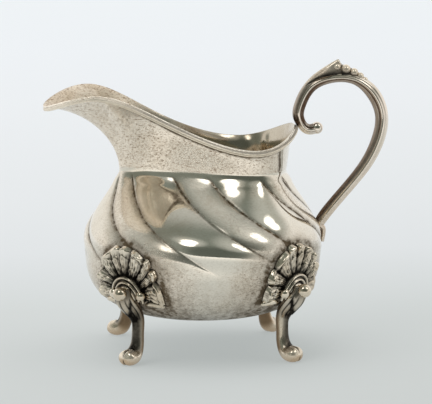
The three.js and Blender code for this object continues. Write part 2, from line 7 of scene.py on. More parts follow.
import bpy
import numpy as np
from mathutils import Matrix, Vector


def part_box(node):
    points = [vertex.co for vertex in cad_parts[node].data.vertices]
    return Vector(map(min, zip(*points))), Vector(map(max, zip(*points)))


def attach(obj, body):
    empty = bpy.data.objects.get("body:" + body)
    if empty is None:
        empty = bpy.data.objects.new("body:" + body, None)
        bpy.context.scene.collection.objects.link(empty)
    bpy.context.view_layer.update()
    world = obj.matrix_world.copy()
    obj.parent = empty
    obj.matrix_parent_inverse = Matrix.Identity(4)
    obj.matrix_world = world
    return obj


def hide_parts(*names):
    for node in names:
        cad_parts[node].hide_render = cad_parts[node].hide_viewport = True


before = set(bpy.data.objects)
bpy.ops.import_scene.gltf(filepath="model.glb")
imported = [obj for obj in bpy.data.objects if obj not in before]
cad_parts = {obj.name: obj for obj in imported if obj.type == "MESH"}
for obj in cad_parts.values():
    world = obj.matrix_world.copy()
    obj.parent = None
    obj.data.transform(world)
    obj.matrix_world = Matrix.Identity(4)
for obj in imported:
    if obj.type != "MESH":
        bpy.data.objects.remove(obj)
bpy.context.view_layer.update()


# Camera
# A long lens a little to the spout's side of the jug and a little above it, framed for 432 x 404.
MM = 0.001
CAMERA_TURN = math.radians(-6.2)
CAMERA_LIFT = math.radians(8.2)
CAMERA_DISTANCE = 1050 * MM
CAMERA_TARGET = Vector((-0.53 * MM, 0, 53.2 * MM))
LENS_WIDTH = 36
VIEW_WIDTH = 155.4

lens = bpy.data.cameras.new("photo_lens")
lens.sensor_width = LENS_WIDTH
lens.lens = LENS_WIDTH * CAMERA_DISTANCE / MM / VIEW_WIDTH
camera = bpy.data.objects.new("photo_camera", lens)
towards_camera = Vector((
    math.sin(CAMERA_TURN) * math.cos(CAMERA_LIFT),
    -math.cos(CAMERA_TURN) * math.cos(CAMERA_LIFT),
    math.sin(CAMERA_LIFT),
))
camera.location = CAMERA_TARGET + towards_camera * CAMERA_DISTANCE
camera.rotation_euler = towards_camera.to_track_quat("Z", "Y").to_euler()
bpy.context.scene.collection.objects.link(camera)
bpy.context.scene.camera = camera
bpy.context.scene.view_settings.view_transform = "Standard"


# Table and light
# A pale, softly glowing table top that ends short on the viewer's side, under three broad lamps that the
# silver doesn't mirror. Its glow is painted light: it lightens the jug's shadow and brightens the table
# towards the back. The silver mirrors the air round the jug instead: a white tent, with a dim room at its
# open front and two tall soft lamps in that.
TABLE_REACH = 4000
TABLE_FRONT = -310
TABLE_TOP = (0.16, 0.16, 0.16)
TABLE_ROUGHNESS = 0.9
TABLE_GLOSS = 0.1
GLOW_FROM = -0.32
GLOW_DEPTH = 1.96
TABLE_GLOW = [
    (0.06, (0.71, 0.71, 0.68)),
    (0.11, (0.361, 0.388, 0.381)),
    (0.204, (0.403, 0.433, 0.430)),
    (0.276, (0.503, 0.528, 0.543)),
    (0.352, (0.542, 0.567, 0.582)),
    (0.587, (0.623, 0.648, 0.673)),
    (0.765, (0.661, 0.691, 0.721)),
    (1.0, (0.698, 0.731, 0.757)),
]
LAMPS = [
    ("overhead_lamp", (-0.2, 0.2, 1.6), 1.6, 26),
    ("left_lamp", (-1.4, -0.7, 1.1), 1.0, 12),
    ("front_lamp", (-0.8, -1.2, 0.4), 0.6, 6),
]
TENT_WHITE = (0.84, 0.84, 0.82)
ROOM_DIM = (0.20, 0.225, 0.20)
ROOM_DIM_PATCH = (-14, 42, 52, 88)
ROOM_DARK = (0.10, 0.115, 0.10)
ROOM_DARK_PATCH = (6, 14, 26, 50)
SOFT_LAMPS = [(-36, 62, 20), (64, 52, 32)]
SOFT_LAMP_DROP = 10
SOFT_LAMP_WHITE = (2.5, 2.5, 2.45)
SOFT_LAMP_EDGE = (4, 10)
SOFT_LAMP_HALO = (0.46, 0.48, 0.45)
SOFT_LAMP_HALO_FROM = 6
FLOOR_WHITE = (0.85, 0.85, 0.82)
FLOOR_EDGE = (-0.16, -0.13)


class Shade:
    """A shader socket that adds nodes when it is used in an expression."""

    def __init__(self, tree, socket=None):
        self.tree = tree
        self.socket = socket

    def node(self, kind, settings=None, sockets=None, out=0):
        made = self.tree.nodes.new(kind)
        for name, value in (settings or {}).items():
            if name == "stops":
                ramp = made.color_ramp.elements
                while len(ramp) < len(value):
                    ramp.new(0.5)
                for stop, (place, colour) in zip(ramp, value):
                    stop.position = place
                    stop.color = (*colour, 1)
            else:
                setattr(made, name, value)
        for name, value in (sockets or {}).items():
            if isinstance(value, Shade):
                self.tree.links.new(value.socket, made.inputs[name])
            else:
                made.inputs[name].default_value = value
        return Shade(self.tree, made.outputs[out])

    def maths(self, operation, *values):
        return self.node("ShaderNodeMath", {"operation": operation}, dict(enumerate(values)))

    def __add__(self, other):
        return self.maths("ADD", self, other)

    def __sub__(self, other):
        return self.maths("SUBTRACT", self, other)

    def __rsub__(self, other):
        return self.maths("SUBTRACT", other, self)

    def __mul__(self, other):
        return self.maths("MULTIPLY", self, other)

    __radd__ = __add__
    __rmul__ = __mul__

    def between(self, low, high):
        """0 below low, 1 above high, eased between them."""
        sockets = {"Value": self, "From Min": low, "From Max": high}
        return self.node("ShaderNodeMapRange", {"interpolation_type": "SMOOTHSTEP"}, sockets)

    def colours(self, first, second):
        """The first colour where this is 0 and the second where it is 1."""
        ends = {
            6: first if isinstance(first, Shade) else (*first, 1),
            7: second if isinstance(second, Shade) else (*second, 1),
        }
        return self.node("ShaderNodeMix", {"data_type": "RGBA"}, {0: self, **ends}, out=2)


def new_material(name):
    material = bpy.data.materials.new(name)
    material.use_nodes = True
    shader = material.node_tree.nodes["Principled BSDF"]
    return material, shader, Shade(material.node_tree)


def link(shader, name, value):
    value.tree.links.new(value.socket, shader.inputs[name])


def place_on(start):
    return start.node("ShaderNodeTexCoord", out=3)


def mesh_object(name, points, faces, materials, shades=None, dull=None, warm=None):
    """A mesh from points in millimetres. Numbers at its points say how much tarnish and painted shade, how
    dull and how much painted warm reflection they carry.
    """
    mesh = bpy.data.meshes.new(name)
    mesh.from_pydata((np.asarray(points) * MM).tolist(), [], [list(face) for face in faces])
    mesh.polygons.foreach_set("use_smooth", [True] * len(mesh.polygons))
    for material in materials:
        mesh.materials.append(material)
    for title, values in (("recess", shades), ("dull", dull), ("warm", warm)):
        if values is not None:
            kept = mesh.attributes.new(title, "FLOAT", "POINT")
            kept.data.foreach_set("value", np.asarray(values, float))
    mesh.update()
    made = bpy.data.objects.new(name, mesh)
    bpy.context.scene.collection.objects.link(made)
    return made


def table_paint():
    material, shader, start = new_material("glowing_table")
    depth = start.node("ShaderNodeSeparateXYZ", None, {0: place_on(start)}, out=1)
    share = (depth - GLOW_FROM) * (1 / GLOW_DEPTH)
    # The table's glow is painted light that lightens the jug's shadow and brightens towards the back.
    link(shader, "Emission Color", start.node("ShaderNodeValToRGB", {"stops": TABLE_GLOW}, {0: share}))
    shader.inputs["Emission Strength"].default_value = 1.0
    shader.inputs["Base Color"].default_value = (*TABLE_TOP, 1)
    shader.inputs["Roughness"].default_value = TABLE_ROUGHNESS
    shader.inputs["Specular IOR Level"].default_value = TABLE_GLOSS
    return material


table_corners = [
    (-TABLE_REACH, TABLE_FRONT, 0),
    (TABLE_REACH, TABLE_FRONT, 0),
    (TABLE_REACH, TABLE_REACH, 0),
    (-TABLE_REACH, TABLE_REACH, 0),
]
table = mesh_object("table", table_corners, [(0, 1, 2, 3)], [table_paint()])

for name, place, size, power in LAMPS:
    light = bpy.data.lights.new(name, "AREA")
    light.shape = "SQUARE"
    light.size = size
    light.energy = power
    lamp = bpy.data.objects.new(name, light)
    lamp.location = place
    lamp.rotation_euler = Vector(place).to_track_quat("Z", "Y").to_euler()
    lamp.visible_glossy = False
    bpy.context.scene.collection.objects.link(lamp)

world = bpy.data.worlds.new("studio_air")
bpy.context.scene.world = world
world.use_nodes = True
air = Shade(world.node_tree)
look = air.node("ShaderNodeTexCoord", out=0)


def patch(turn, lift, inner, outer):
    """1 near a direction and 0 away from it, in degrees.

    The turn goes from the viewer's side towards the handle, and the lift goes up from there.
    """
    turn = math.radians(turn)
    lift = math.radians(lift)
    aim = (math.sin(turn) * math.cos(lift), -math.cos(turn) * math.cos(lift), math.sin(lift))
    along = air.node("ShaderNodeVectorMath", {"operation": "DOT_PRODUCT"}, {0: look, 1: aim}, out=1)
    return along.between(math.cos(math.radians(outer)), math.cos(math.radians(inner)))


studio = patch(*ROOM_DIM_PATCH).colours(TENT_WHITE, ROOM_DIM)
studio = patch(*ROOM_DARK_PATCH).colours(studio, ROOM_DARK)
for turn, lift, halo in SOFT_LAMPS:
    studio = patch(turn, lift, SOFT_LAMP_HALO_FROM, halo).colours(studio, SOFT_LAMP_HALO)
    for drop in (0, SOFT_LAMP_DROP):
        studio = patch(turn, lift - drop, *SOFT_LAMP_EDGE).colours(studio, SOFT_LAMP_WHITE)
height = air.node("ShaderNodeSeparateXYZ", None, {0: look}, out=2)
studio = height.between(*FLOOR_EDGE).colours(FLOOR_WHITE, studio)
world.node_tree.links.new(studio.socket, world.node_tree.nodes["Background"].inputs["Color"])


# Body
# One raised sheet of silver: round bowl, waist, pinched throat and drooping lip. Six wide lobes and six
# narrow ribs are chased into its shoulder in a swirl, and a crease runs up each side of the neck. It is
# burnished outside, dull and speckled with tarnish on the neck and low on the belly, and yellowed inside.
BELLY_RADIUS = 42.3
BELLY_HEIGHT = 37.5
BASE_HEIGHT = 12.5
BASE_FULLNESS = 2.8
WAIST_HEIGHT = 65.5
WAIST_HALF_LENGTH = 30
WAIST_HALF_WIDTH = 18
WAIST_EGG = 0.7
WAIST_BLUNT = 0.25
SHOULDER_FULLNESS = 1.21
WALL = 0.75
RIM_SIDE = [
    (17.5, 24.4, 74.1, 52),
    (-15, 13, 84, 118),
    (-40.5, 22, 93.5, 150),
]
RIM_BACK = (33.4, 0, 81, 0)
RIM_TIP = (-57, 0, 88.1, 180)
RIM_FLARE = 0.6
FLARE_SOFTNESS = 2
NECK_UPRIGHT = 0.3
NECK_LEAN = 0.35
CREASE_TURN = 31
CREASE_WIDTH = 1.9
CREASE_DEPTH = 0.35
LOBES = 6
LOBE_SHARE = 0.6
LOBE_RISE = 1.2
RIB_RISE = 0.8
CHASING_ROUND = 0.7
LOBE_START = 30
SWIRL = 46
SWIRL_BEND = 1.3
SWIRL_END_HEIGHT = 40
CHASING_TOP_FADE = 4
CHASING_LOW_HEIGHT = 33
CHASING_LOW_FADE = 9
KNEE_HEIGHT = 25.5
SHELL_RADIUS = 13.7
SHELL_CROWN = 3.8
SHELL_CROWN_BEND = 1.5
LOBE_COLUMNS = 24
RIB_COLUMNS = 18
BOWL_ROWS = 44
SHOULDER_ROWS = 80
NECK_ROWS = 44
FINE_STATIONS = 6001
SPLINE_PASSES = 40

axis_x = (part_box("leg_front_left")[0].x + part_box("leg_front_right")[1].x) / 2 / MM


def spline_through(knots, closed=False):
    """A smooth curve through knots: a cubic B-spline, its control points moved until it meets them."""
    knots = np.array(knots, float)
    count = len(knots)
    control = knots.copy()

    def with_neighbours():
        if closed:
            return np.vstack([control[-1:], control, control[:2]])
        return np.vstack([2 * control[:1] - control[1:2], control, 2 * control[-1:] - control[-2:-1]])

    for _ in range(SPLINE_PASSES):
        around = with_neighbours()
        met = (around[:count] + 4 * around[1:count + 1] + around[2:count + 2]) / 6
        control = control + knots - met
    around = with_neighbours()
    spans = count if closed else count - 1

    def at(place):
        place = np.atleast_1d(np.asarray(place, float))
        if closed:
            place = place % count
        i = np.clip(np.floor(place).astype(int), 0, spans - 1)
        f = (place - i)[:, None]
        parts = [(1 - f) ** 3, 3 * f ** 3 - 6 * f ** 2 + 4, -3 * f ** 3 + 3 * f ** 2 + 3 * f + 1, f ** 3]
        return sum(part * around[i + k] for k, part in enumerate(parts)) / 6

    return at


def eased(value, low, high):
    share = np.clip((value - low) / (high - low), 0, 1)
    return share * share * (3 - 2 * share)


def band(value, middle, width):
    """1 at the middle, falling smoothly to 0 on both sides of it."""
    return np.exp(-((value - middle) / width) ** 2)


def shoulder_share(height):
    climb = np.clip((height - BELLY_HEIGHT) / (WAIST_HEIGHT - BELLY_HEIGHT), 0, 1)
    return (1 + np.cos(np.pi * climb ** SHOULDER_FULLNESS)) / 2


def belly_radius(height):
    """Radius of the plain belly along the spout's axis."""
    depth = np.clip((BELLY_HEIGHT - height) / (BELLY_HEIGHT - BASE_HEIGHT), 0, 1)
    bowl = BELLY_RADIUS * (1 - depth ** BASE_FULLNESS) ** (1 / BASE_FULLNESS)
    shoulder = WAIST_HALF_LENGTH + (BELLY_RADIUS - WAIST_HALF_LENGTH) * shoulder_share(height)
    return np.where(height <= BELLY_HEIGHT, bowl, shoulder)


def waist_point(turn):
    half_width = WAIST_HALF_WIDTH * (1 + WAIST_EGG * np.cos(turn) + WAIST_BLUNT * np.cos(turn) ** 2)
    level = np.full_like(turn, WAIST_HEIGHT)
    return np.stack([WAIST_HALF_LENGTH * np.cos(turn), half_width * np.sin(turn), level], -1)


def chasing_place(degrees):
    """Where an angle falls across its lobe, 0 to 1, and across the rib beside it, 0 to 1."""
    period = 360 / LOBES
    place = ((degrees - LOBE_START) % period) / period
    return np.clip(place / LOBE_SHARE, 0, 1), np.clip((place - LOBE_SHARE) / (1 - LOBE_SHARE), 0, 1)


def chasing(degrees):
    on_lobe, on_rib = chasing_place(degrees)
    lobe = LOBE_RISE * np.abs(np.sin(np.pi * on_lobe)) ** CHASING_ROUND
    return lobe + RIB_RISE * np.abs(np.sin(np.pi * on_rib)) ** CHASING_ROUND


def chasing_fade(height):
    top = 1 - eased(height, WAIST_HEIGHT - CHASING_TOP_FADE, WAIST_HEIGHT)
    return top * eased(height, CHASING_LOW_HEIGHT, CHASING_LOW_HEIGHT + CHASING_LOW_FADE)


def swirl_at(height):
    fall = np.clip((WAIST_HEIGHT - height) / (WAIST_HEIGHT - SWIRL_END_HEIGHT), 0, 1.5)
    return math.radians(SWIRL) * fall ** SWIRL_BEND


def body_row(degrees, height):
    """Points of the chased belly at one height, for columns named by their angle at the waist."""
    turn = np.radians(degrees) + swirl_at(height)
    spoke = np.stack([np.cos(turn), np.sin(turn), np.zeros_like(turn)], -1)
    if height <= BELLY_HEIGHT:
        wall = spoke * belly_radius(height)
    else:
        share = shoulder_share(height)
        wall = waist_point(turn) * (1 - share) + spoke * BELLY_RADIUS * share
    wall = wall + spoke * (chasing(degrees) * chasing_fade(height))[:, None]
    wall[:, 2] = height
    return wall


rim_far_side = [(x, -y, z, 360 - turn) for x, y, z, turn in reversed(RIM_SIDE)]
stations = [RIM_BACK, *RIM_SIDE, RIM_TIP, *rim_far_side]
station_turn = 360 / len(stations)
rim_knots = [(x, y, z, turn - i * station_turn) for i, (x, y, z, turn) in enumerate(stations)]
rim_spline = spline_through(rim_knots, closed=True)
fine_stations = np.linspace(-1, len(stations) + 1, FINE_STATIONS)
fine_turns = rim_spline(fine_stations)[:, 3] + fine_stations * station_turn


def neck_controls(degrees):
    """Four control points of the neck's wall above each column: waist, lower, upper, rim."""
    station = np.interp(degrees, fine_turns, fine_stations)
    waist = waist_point(np.radians(degrees))
    rim = rim_spline(station)[:, :3]
    along = rim_spline(station + MM)[:, :2] - rim_spline(station - MM)[:, :2]
    outward = np.stack([along[:, 1], -along[:, 0], np.zeros(len(along))], -1)
    outward /= np.linalg.norm(outward, axis=1)[:, None]
    rise = rim[:, 2] - waist[:, 2]
    reach = ((rim - waist) * outward).sum(1)
    flare = RIM_FLARE + (reach + np.hypot(reach, FLARE_SOFTNESS)) / 4
    spoutward = ((1 - np.cos(np.radians(degrees))) / 2) ** 2
    lower = waist + outward * (reach * NECK_LEAN * (1 - spoutward))[:, None]
    lower[:, 2] += rise / 2
    upper = rim - outward * flare[:, None]
    upper[:, 2] -= rise * NECK_UPRIGHT * (1 - spoutward)
    return waist, lower, upper, rim


def neck_row(controls, share):
    a, b, c, d = controls
    left = 1 - share
    return left ** 3 * a + 3 * left ** 2 * share * b + 3 * left * share ** 2 * c + share ** 3 * d


def grid_normals(grid):
    """Outward normals of rows of points that close on themselves, row by row from the bottom up."""
    along = np.roll(grid, -1, 1) - np.roll(grid, 1, 1)
    climb = np.gradient(grid, axis=0)
    normal = np.cross(along, climb)
    return normal / np.maximum(np.linalg.norm(normal, axis=2), 1e-9)[..., None]


def ring_faces(rows, columns, looped=False):
    faces = []
    for i in range(rows if looped else rows - 1):
        below = i * columns
        above = (i + 1) % rows * columns
        for j in range(columns):
            k = (j + 1) % columns
            faces.append((below + j, below + k, above + k, above + j))
    return faces


def fan_radius(turn):
    """Reach of a shell's fan from the knee, for angles from straight up."""
    return SHELL_RADIUS + SHELL_CROWN * np.clip(np.cos(turn), 0, 1) ** SHELL_CROWN_BEND


# Deep colours for tarnish, also used for painted shade.
TARNISH_AND_SHADE_BROWN = (0.13, 0.094, 0.056)
BLACK_TARNISH_AND_SHADE = (0.012, 0.010, 0.008)
SPECK_BROWN = (0.27, 0.18, 0.115)
DULL_TINT = (1.05, 1.01, 0.985)
VEIL_TINT = (0.62, 0.52, 0.40)
BRUSHED = (1.0, 1.0, 2.2)
BLOTCH_SCALE = 55.0
SPECK_SCALE = 700.0
GRAIN_SCALE = 1300.0
CLOUD_SCALE = 420.0
SCRATCH_SCALE = 320.0
SCRATCH_STRENGTH = 0.035
SCRATCH_DEPTH = 0.0004


def noise(place, scale, detail, roughness=0.5):
    sockets = {"Vector": place, "Scale": scale, "Detail": detail, "Roughness": roughness}
    return place.node("ShaderNodeTexNoise", None, sockets)


def painted(start, title):
    """The numbers that a mesh carries at its points under a title."""
    return start.node("ShaderNodeAttribute", {"attribute_name": title}, out=2)


def tinted(colour, tint):
    return tuple(part * share for part, share in zip(colour, tint))


def silver(name, bright, roughness, specks, blotches,
           patina_and_shade=0.0, deep=BLACK_TARNISH_AND_SHADE, patchy=0.0, warm_reflection=None):
    """Silver with fine specks of tarnish that gather in blotches.

    Patina and painted shade of a deep colour go where the mesh says, and a painted warm reflection where
    the mesh is warm.
    """
    material, shader, start = new_material(name)
    place = place_on(start)
    brushed = start.node("ShaderNodeMapping", None, {"Vector": place, "Scale": BRUSHED})
    pits = start.node("ShaderNodeTexVoronoi", None, {"Vector": place, "Scale": SPECK_SCALE})
    fine = noise(brushed, SPECK_SCALE, 5.0, 0.65)
    grain = noise(brushed, GRAIN_SCALE, 3.0)
    gathered = noise(place, BLOTCH_SCALE, 4.0, 0.6).between(0.42, 0.68)
    dull = painted(start, "dull")
    speck = (fine.between(0.55, 0.72) * 0.8 + (1 - pits.between(0.08, 0.28)) * 0.4) * specks
    speck = speck * ((0.18 + gathered * 0.82) * (0.5 + dull * 0.5) + dull * 0.35)
    speck = speck + grain.between(0.48, 0.66) * (0.10 + dull * 0.65) * specks
    speck = start.maths("MINIMUM", speck, 1.0)
    veil = gathered * blotches
    tone = dull.colours(bright, tinted(bright, DULL_TINT))
    tone = veil.colours(tone, tinted(bright, VEIL_TINT))
    tone = speck.colours(tone, SPECK_BROWN)
    rough = roughness + veil * 0.12 + speck * 0.30 + dull * 0.16
    # A painted warm reflection where the mesh is warm.
    if warm_reflection:
        warm = painted(start, "warm")
        tone = warm.colours(tone, warm_reflection)
        rough = rough + warm * 0.1
    # Patina and painted shade go where the mesh's numbers say.
    if patina_and_shade:
        cloud = noise(place, CLOUD_SCALE, 4.0, 0.7)
        mottle = 0.75 + cloud * 0.5 + (cloud.between(0.40, 0.62) - 0.45) * patchy
        dark = start.maths("MINIMUM", painted(start, "recess") * patina_and_shade * mottle, 1.0)
        tone = dark.colours(tone, deep)
        rough = rough + dark * 0.35
    scratches = noise(place, SCRATCH_SCALE, 3.0) + speck * 0.6
    surface = {"Strength": SCRATCH_STRENGTH, "Distance": SCRATCH_DEPTH, "Height": scratches}
    link(shader, "Base Color", tone)
    link(shader, "Roughness", rough)
    link(shader, "Metallic", 1 - dull * 0.5)
    link(shader, "Normal", start.node("ShaderNodeBump", None, surface))
    return material


BURNISHED_SILVER = (0.94, 0.88, 0.775)
YELLOWED_SILVER = (0.68, 0.61, 0.50)
CREASE_TARNISH = 1.15
CREASE_SHARPNESS = 2.2
WORN_TURN = -100
WORN_SPREAD = 28
WORN_SHARE = 0.6
WIRE_SHADOW_FROM_RIM = 2.15
WIRE_SHADOW_WIDTH = 0.5
NECK_CREASE_TARNISH = 1.2
NEAR_SHELL_TARNISH = 0.38
# Painted shadow as well as tarnish along the shells' edges.
SHELL_LINE_SHADE_AND_TARNISH = 0.6
SPECKLED_TARNISH = 0.14
# Darkening towards the bottom of the belly.
BOTTOM_DARKENING = 0.6
LOW_BELLY_TARNISH = 0.15
LOW_BELLY_DULL = 0.4
BACK_NECK_DULL = 0.25
SPECKLED_DULL = 0.95
RIB_DULL = 0.45

burnished = silver("burnished_silver", BURNISHED_SILVER, roughness=0.05, specks=0.9, blotches=0.30,
                   patina_and_shade=0.95, deep=TARNISH_AND_SHADE_BROWN, patchy=0.6)
yellowed = silver("yellowed_inside", YELLOWED_SILVER, roughness=0.13, specks=1.3, blotches=0.6)

lobe_period = 360 / LOBES
one_lobe = np.concatenate([
    lobe_period * LOBE_SHARE * np.arange(LOBE_COLUMNS) / LOBE_COLUMNS,
    lobe_period * (LOBE_SHARE + (1 - LOBE_SHARE) * np.arange(RIB_COLUMNS) / RIB_COLUMNS),
])
columns = np.concatenate([LOBE_START + lobe * lobe_period + one_lobe for lobe in range(LOBES)])
climbs = np.sin(np.pi / 2 * np.linspace(0.02, 1, BOWL_ROWS))
bowl_depths = (1 - climbs ** BASE_FULLNESS) ** (1 / BASE_FULLNESS)
bowl_heights = BELLY_HEIGHT - (BELLY_HEIGHT - BASE_HEIGHT) * bowl_depths
shoulder_heights = np.linspace(BELLY_HEIGHT, WAIST_HEIGHT, SHOULDER_ROWS + 1)[1:]
row_heights = np.concatenate([bowl_heights, shoulder_heights, np.full(NECK_ROWS, WAIST_HEIGHT)])
neck = neck_controls(columns)
outer = np.array(
    [body_row(columns, height) for height in bowl_heights]
    + [body_row(columns, height) for height in shoulder_heights]
    + [neck_row(neck, share) for share in np.linspace(0, 1, NECK_ROWS + 1)[1:]]
)
handle_side = np.abs((columns + 180) % 360 - 180)
neck_climb = np.concatenate([np.zeros(BOWL_ROWS + SHOULDER_ROWS), np.linspace(0, 1, NECK_ROWS)])
crease_climb = (neck_climb > 0) * (1 - eased(neck_climb, 0.75, 0.95))
neck_crease = np.outer(crease_climb, band(handle_side, CREASE_TURN, CREASE_WIDTH))
outer = outer - grid_normals(outer) * CREASE_DEPTH * neck_crease[..., None]
inner = outer - grid_normals(outer) * WALL
skin = np.concatenate([outer, inner[::-1]])
rows, count = skin.shape[:2]
points = np.vstack([skin.reshape(-1, 3), outer[0].mean(0), inner[0].mean(0)])
last_row = (rows - 1) * count
faces = ring_faces(rows, count)
faces += [((j + 1) % count, j, len(points) - 2) for j in range(count)]
faces += [(last_row + j, last_row + (j + 1) % count, len(points) - 1) for j in range(count)]

# Tarnish lies in the chased creases, round the shells and low on the belly, and is worn off in front. The
# dark line under the wire and the dark line along the shells' edges are painted shadow as well as tarnish,
# and the belly is also darkened towards the bottom.
wall_height = outer[..., 2]
wall_turn = np.degrees(np.arctan2(outer[..., 1], outer[..., 0]))
to_spout = -outer[..., 0]
from_rim = np.linalg.norm(outer - outer[-1], axis=2)
from_leg = np.abs(wall_turn % 90 - 45)
beside_knee = np.radians(from_leg) * np.hypot(outer[..., 0], outer[..., 1])
above_knee = wall_height - KNEE_HEIGHT
past_fan = np.hypot(beside_knee, above_knee) - fan_radius(np.arctan2(beside_knee, above_knee))
chased_crease = 1 - np.clip(chasing(columns) / RIB_RISE, 0, 1)
worn = band(wall_turn, WORN_TURN, WORN_SPREAD) * (1 - eased(wall_height, 50, 58))
# Painted shadow under the wire, over the tarnish there, fainter on the lip.
less_at_lip = 1.35 - 1.1 * eased(to_spout, 18, 34)
under_wire = band(from_rim, WIRE_SHADOW_FROM_RIM, WIRE_SHADOW_WIDTH) * less_at_lip
near_shell = np.exp(-(from_leg / 26) ** 4 - ((wall_height - 28) / 15) ** 4)
# Painted shadow along the shells' edges, over the tarnish there.
beside_shell = band(past_fan, 0.3, 1.5) * eased(above_knee, -6, -3)
speckled = np.exp(-(from_leg / 36.4) ** 6 - ((wall_height - 25) / 13) ** 4)
recess = np.outer(chasing_fade(row_heights), chased_crease ** CREASE_SHARPNESS)
recess = recess * CREASE_TARNISH * (1 - WORN_SHARE * worn)
recess = recess + under_wire + NECK_CREASE_TARNISH * neck_crease + NEAR_SHELL_TARNISH * near_shell
recess = recess + SHELL_LINE_SHADE_AND_TARNISH * beside_shell + SPECKLED_TARNISH * speckled
# Darker towards the bottom of the belly.
recess = recess + BOTTOM_DARKENING * (1 - eased(wall_height, 12.5, 24))
recess = recess + LOW_BELLY_TARNISH * (1 - eased(wall_height, 24, 36))
recess = np.concatenate([recess.ravel(), np.zeros(recess.size), [0, 0]])

# The neck is dull from its crease to the spout, and so are the ribs and the low belly. Inside, the lip is.
past_crease = eased(handle_side, CREASE_TURN - 2, CREASE_TURN + 4)
dull = np.repeat(LOW_BELLY_DULL * (1 - eased(row_heights, 20, 33))[:, None], count, 1)
dull[neck_climb > 0] = BACK_NECK_DULL + (1 - BACK_NECK_DULL) * past_crease
dull = np.maximum(dull, np.maximum(near_shell, SPECKLED_DULL * speckled))
on_rib = np.sin(np.pi * chasing_place(columns)[1])
dull = np.maximum(dull, RIB_DULL * np.outer(chasing_fade(row_heights), on_rib))
dull_inside = np.exp(-from_rim / 14) * eased(to_spout, 5, 28)
dull = np.concatenate([dull.ravel(), dull_inside[::-1].ravel(), [0, 0]])

body = mesh_object("raised_body", points + (axis_x, 0, 0), faces, [burnished, yellowed], recess, dull)
inside = np.zeros(len(faces), int)
inside[len(outer) * count:] = 1
inside[-2 * count:-count] = 0
body.data.polygons.foreach_set("material_index", inside)
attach(body, "root")
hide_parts("body_shell")


# Rim wire
# A drawn reeded wire of silver, bent to the mouth's edge and soldered along the outside of it. Its reeds
# are rubbed bright, and tarnish stays in the groove between them, less so on the lip.
WIRE_HEIGHT = 1.6
WIRE_PROUD = 1.1
WIRE_SINK = 0.15
WIRE_DULL = 0.6
GROOVE_FLOOR = 0.62
GROOVE_TARNISH = 0.8
REEDS = 2
REED_ROUND = 0.6
REED_STEPS = 9
WIRE_SILVER = (1.0, 0.92, 0.79)

rim_edge = outer[-1]
rim_normal = grid_normals(outer)[-1]
neck_down = outer[-2] - outer[-1]
neck_down /= np.linalg.norm(neck_down, axis=1)[:, None]
section = [(-WIRE_SINK, 0)]
for step in range(REEDS * REED_STEPS + 1):
    place = step / REED_STEPS
    reed = abs(math.sin(math.pi * place)) ** REED_ROUND
    section.append((WIRE_PROUD * (GROOVE_FLOOR + (1 - GROOVE_FLOOR) * reed), WIRE_HEIGHT * place / REEDS))
section.append((-WIRE_SINK, WIRE_HEIGHT))
wire = np.array([rim_edge + rim_normal * proud + neck_down * down for proud, down in section])
wire_points = wire.transpose(1, 0, 2).reshape(-1, 3)
wire_faces = ring_faces(count, len(section), looped=True)
proud_share = np.array([proud for proud, _ in section]) / WIRE_PROUD
groove = GROOVE_TARNISH * (1 - np.clip((proud_share - GROOVE_FLOOR) / 0.3, 0, 1))
off_lip = 1 - 0.7 * eased(-rim_edge[:, 0], 18, 36)
wire_shades = np.outer(off_lip, groove).ravel()
wire_dull = np.full(len(wire_points), WIRE_DULL)
wire_silver = silver("wire_silver", WIRE_SILVER, roughness=0.3, specks=0.3, blotches=0.15, patina_and_shade=0.8)
rim_wire = mesh_object("reeded_rim", wire_points + (axis_x, 0, 0), wire_faces, [wire_silver],
                       wire_shades, wire_dull)
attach(rim_wire, "root")
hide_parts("rim_wire")


# Handle
# A cast silver bar bent to a scroll: a ball end curls behind the mouth, the loop goes over and the long
# slope comes down to a flat tail. It is soldered at the rim wire and along the tail. Its sides are ridged,
# and the inside of the bend is brown.
SEAT = -0.15
LOOP_HALF_LENGTH = 15.1
LOOP_HALF_HEIGHT = 13.8
LOOP_RISE = 3
LOOP_SETBACK = 13.3
LIMB_HALF = 2.15
CROWN_HALF = 1.8
GRIP_HALF = 2.4
SLOPE_HALF = 1.95
TAIL_START_HALF = 2.0
TAIL_HALF = 0.85
TAIL_TOP = 46
TAIL_END = 38.3
SLOPE_BULGE = 3.4
BALL_RADIUS = 2.2
BALL_FROM_SEAT = (5.0, -1.4)
CURL_HALF = 1.75
CURL_CLEARANCE = 0.35
CURL_PLACE = 3.3
SLOPE_PLACE = 10
BAR_WIDENING = 1.1
BAR_SQUARENESS = 1.85
SIDE_RIB_RISE = 0.05
SIDE_GROOVE_DEPTH = 0.13
BAR_SIDES = 96
BAR_RINGS_PER_KNOT = 10
BROWNED_SILVER = (0.96, 0.86, 0.75)
BROWN_TARNISH = (0.14, 0.085, 0.055)

loop_height = RIM_BACK[2] + LOOP_RISE
seat_x = wire_points[:, 0].max() + CURL_CLEARANCE + CURL_HALF
loop_x = seat_x + LOOP_SETBACK


def on_loop(degrees, half, swell=1.0):
    turn = math.radians(degrees)
    x = loop_x + LOOP_HALF_LENGTH * swell * math.cos(turn)
    return [x, loop_height + LOOP_HALF_HEIGHT * swell * math.sin(turn), half]


def from_seat(along, up, half):
    return [seat_x + along, RIM_BACK[2] + up, half]


def on_tail(height, half):
    level = np.array([-math.degrees(swirl_at(height))])
    return [body_row(level, height)[0, 0] + SEAT + half, height, half]


loop_end = on_loop(-30, GRIP_HALF, 1.1)
tail_start = on_tail(TAIL_TOP, TAIL_START_HALF)


def on_slope(share):
    x, z = [start + (end - start) * share for start, end in zip(loop_end[:2], tail_start[:2])]
    return [x + SLOPE_BULGE * (1 - share), z, GRIP_HALF + (SLOPE_HALF - GRIP_HALF) * share]


